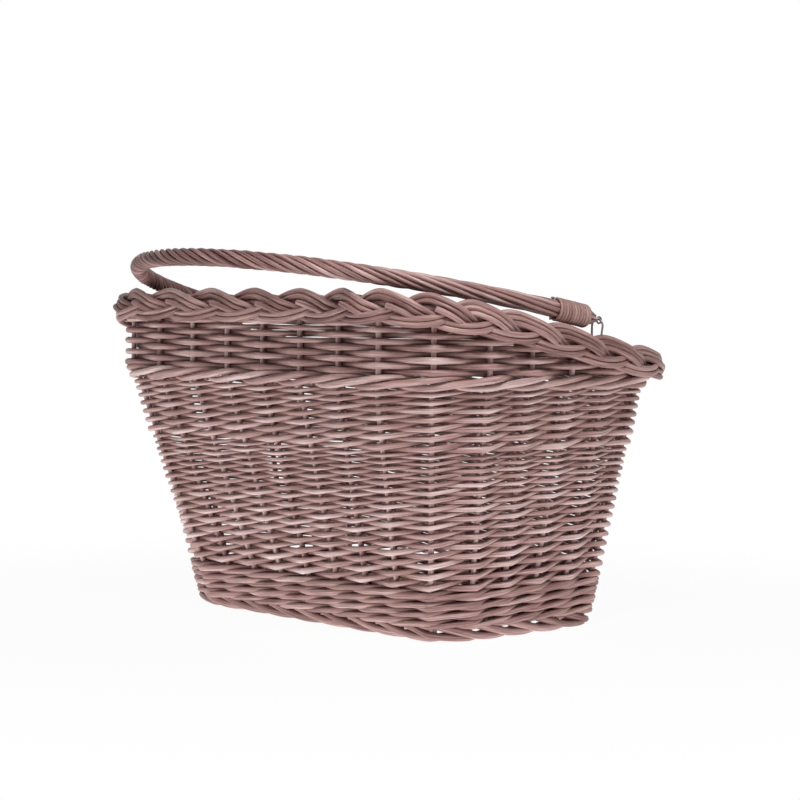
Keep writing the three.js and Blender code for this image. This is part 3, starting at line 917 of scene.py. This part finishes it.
for label, side in (("left", -1), ("right", 1)):
    staple(side).piece(f"staple_wire_{label}", BASKET, "dark_wire", iron_wire, f"hinge_staple_{label}")
    wire_eye(side).piece(f"eye_wire_{label}", HANDLE, "dark_wire", iron_wire, f"wire_eye_{label}")
    binding(side).piece(f"binding_cane_{label}", HANDLE, "split_cane", split_cane, f"binding_{label}")
    nail(side).piece(f"nail_{label}", HANDLE, "dark_wire", iron_wire, f"binding_nail_{label}")


# Studio: a white table, a white surround and two lamps

def seen(tree):
    """1 for a ray that shows the studio, straight, mirrored or through glass; 0 for one that brings light"""
    path = add_node(tree, "ShaderNodeLightPath").outputs
    straight = add_node(
        tree, "ShaderNodeMath",
        links={0: path["Is Camera Ray"], 1: path["Is Transmission Ray"]}, operation="MAXIMUM",
    ).outputs["Value"]
    return add_node(
        tree, "ShaderNodeMath", links={0: straight, 1: path["Is Glossy Ray"]}, operation="MAXIMUM",
    ).outputs["Value"]


def floor():
    """A white table lit from within, which shows the basket's shadow near it and runs out to white

    Its light on the basket is strongest under the basket. Distances are in metres.
    """
    half_width = 12
    shadow_reach = 0.25
    white_reach = 0.7
    whiteness_near = 0.96
    light_reach = (0.3, 1)
    light_near = 2.05
    light_far = 0.8
    material, tree = new_material("white_acrylic_table")
    in_sight = seen(tree)
    place = add_node(tree, "ShaderNodeNewGeometry").outputs["Position"]
    away = add_node(tree, "ShaderNodeVectorMath", links={0: place}, operation="LENGTH").outputs["Value"]
    whiteness = add_node(
        tree, "ShaderNodeMapRange",
        values={"From Min": shadow_reach, "From Max": white_reach, "To Min": whiteness_near, "To Max": 1},
        links={"Value": away}, interpolation_type="SMOOTHSTEP",
    ).outputs["Result"]
    share = add_node(
        tree, "ShaderNodeMix",
        values={NUMBER_A: 1}, links={0: in_sight, NUMBER_B: whiteness}, data_type="FLOAT",
    ).outputs["Result"]
    paint = add_node(tree, "ShaderNodeBsdfDiffuse", values={"Color": colour("#f4f4f4")})
    light = add_node(
        tree, "ShaderNodeMapRange",
        values={
            "From Min": light_reach[0], "From Max": light_reach[1], "To Min": light_near, "To Max": light_far,
        },
        links={"Value": away}, interpolation_type="SMOOTHSTEP",
    ).outputs["Result"]
    strength = add_node(
        tree, "ShaderNodeMix",
        values={NUMBER_B: 1}, links={0: in_sight, NUMBER_A: light}, data_type="FLOAT",
    ).outputs["Result"]
    glow = add_node(
        tree, "ShaderNodeEmission", values={"Color": colour("#ffffff")}, links={"Strength": strength},
    )
    mixed = add_node(
        tree, "ShaderNodeMixShader", links={0: share, 1: paint.outputs["BSDF"], 2: glow.outputs["Emission"]},
    )
    add_node(tree, "ShaderNodeOutputMaterial", links={"Surface": mixed.outputs["Shader"]})
    mesh = bpy.data.meshes.new("studio_floor")
    corners = [(x * half_width, y * half_width, GROUND * MM) for x, y in ((-1, -1), (1, -1), (1, 1), (-1, 1))]
    mesh.from_pydata(corners, [], [(0, 1, 2, 3)])
    mesh.materials.append(material)
    made = bpy.data.objects.new("studio_floor", mesh)
    bpy.context.scene.collection.objects.link(made)


def surround():
    """White where it is seen; as a light, a dim room, darker overhead"""
    wall_light = 0.1
    ceiling_light = 0.05
    world = bpy.data.worlds.new("studio_surround")
    world.use_nodes = True
    tree = world.node_tree
    tree.nodes.clear()
    way = add_node(tree, "ShaderNodeTexCoord").outputs["Generated"]
    height = add_node(tree, "ShaderNodeSeparateXYZ", links={0: way}).outputs["Z"]
    walls = add_node(
        tree, "ShaderNodeMapRange",
        values={"From Min": 0.1, "From Max": 0.8, "To Min": wall_light, "To Max": ceiling_light},
        links={"Value": height},
    ).outputs["Result"]
    soft = add_node(
        tree, "ShaderNodeBackground", values={"Color": colour("#ffffff")}, links={"Strength": walls},
    )
    white = add_node(tree, "ShaderNodeBackground", values={"Color": colour("#ffffff"), "Strength": 1})
    mixed = add_node(
        tree, "ShaderNodeMixShader",
        links={0: seen(tree), 1: soft.outputs["Background"], 2: white.outputs["Background"]},
    )
    add_node(tree, "ShaderNodeOutputWorld", links={"Surface": mixed.outputs["Shader"]})
    bpy.context.scene.world = world


def soft_box(name, place, width, power):
    """A square lamp that faces the middle of the basket"""
    basket_middle = Vector((0, 0, 0.12))
    lamp = bpy.data.lights.new(name, "AREA")
    lamp.shape = "SQUARE"
    lamp.size = width
    lamp.energy = power
    made = bpy.data.objects.new(name, lamp)
    made.location = place
    made.rotation_euler = (basket_middle - Vector(place)).to_track_quat("-Z", "Y").to_euler()
    bpy.context.scene.collection.objects.link(made)


# Camera at the photograph's viewing angle, for a square picture, in millimetres and degrees
CAMERA_PLACE = (1308.2, -1212.5, 242.85)
CAMERA_YAW = math.radians(46.9057)
CAMERA_PITCH = math.radians(-2.3786)
CAMERA_ROLL = math.radians(0.6613)
LENS = 95.57


def camera():
    """The view of the photograph"""
    data = bpy.data.cameras.new("photo_view")
    data.lens = LENS
    data.sensor_fit = "HORIZONTAL"
    data.sensor_width = 36
    made = bpy.data.objects.new("photo_view", data)
    ahead = Vector((
        -math.sin(CAMERA_YAW) * math.cos(CAMERA_PITCH),
        math.cos(CAMERA_YAW) * math.cos(CAMERA_PITCH),
        math.sin(CAMERA_PITCH),
    ))
    level = Vector((math.cos(CAMERA_YAW), math.sin(CAMERA_YAW), 0))
    upright = level.cross(ahead)
    right = math.cos(CAMERA_ROLL) * level + math.sin(CAMERA_ROLL) * upright
    top = right.cross(ahead)
    turn = Matrix((right, top, -ahead)).transposed().to_4x4()
    made.matrix_world = Matrix.Translation(Vector(CAMERA_PLACE) * MM) @ turn
    bpy.context.scene.collection.objects.link(made)
    bpy.context.scene.camera = made


floor()
surround()
soft_box("key_light", (-0.4, -1.0, 0.08), 0.16, 1.3)
soft_box("handle_light", (0.42, -0.25, 0.62), 0.15, 2.5)
camera()
bpy.context.scene.view_settings.view_transform = "Standard"
